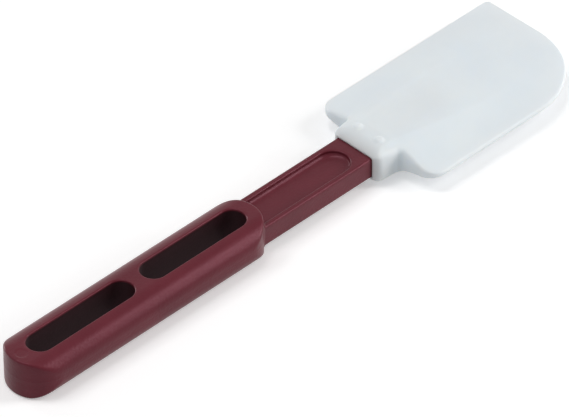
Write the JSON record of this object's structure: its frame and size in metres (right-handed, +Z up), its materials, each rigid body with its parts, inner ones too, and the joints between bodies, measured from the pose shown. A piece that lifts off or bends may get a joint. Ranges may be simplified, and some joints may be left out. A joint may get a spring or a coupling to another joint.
{
  "type": "silicone spatula",
  "caption": "Kitchen scraper spatula: slotted rigid handle with a flat troughed shaft, and a soft wide blade with one square and one rounded front corner.",
  "frame": {"origin": "centre of the bounding box in plan, at the level of the grip's flat underside", "axes": "+X from the grip's end to the blade's tip, +Y towards the blade's square front corner, +Z up through the blade's face"},
  "size_m": [0.343, 0.0746, 0.0205],
  "materials": {
    "handle": "satin dark maroon nylon",
    "blade": "smooth matte pale grey-white silicone"
  },
  "bodies": {
    "root": {"handle": "handle", "blade": "blade"}
  },
  "joints": []
}
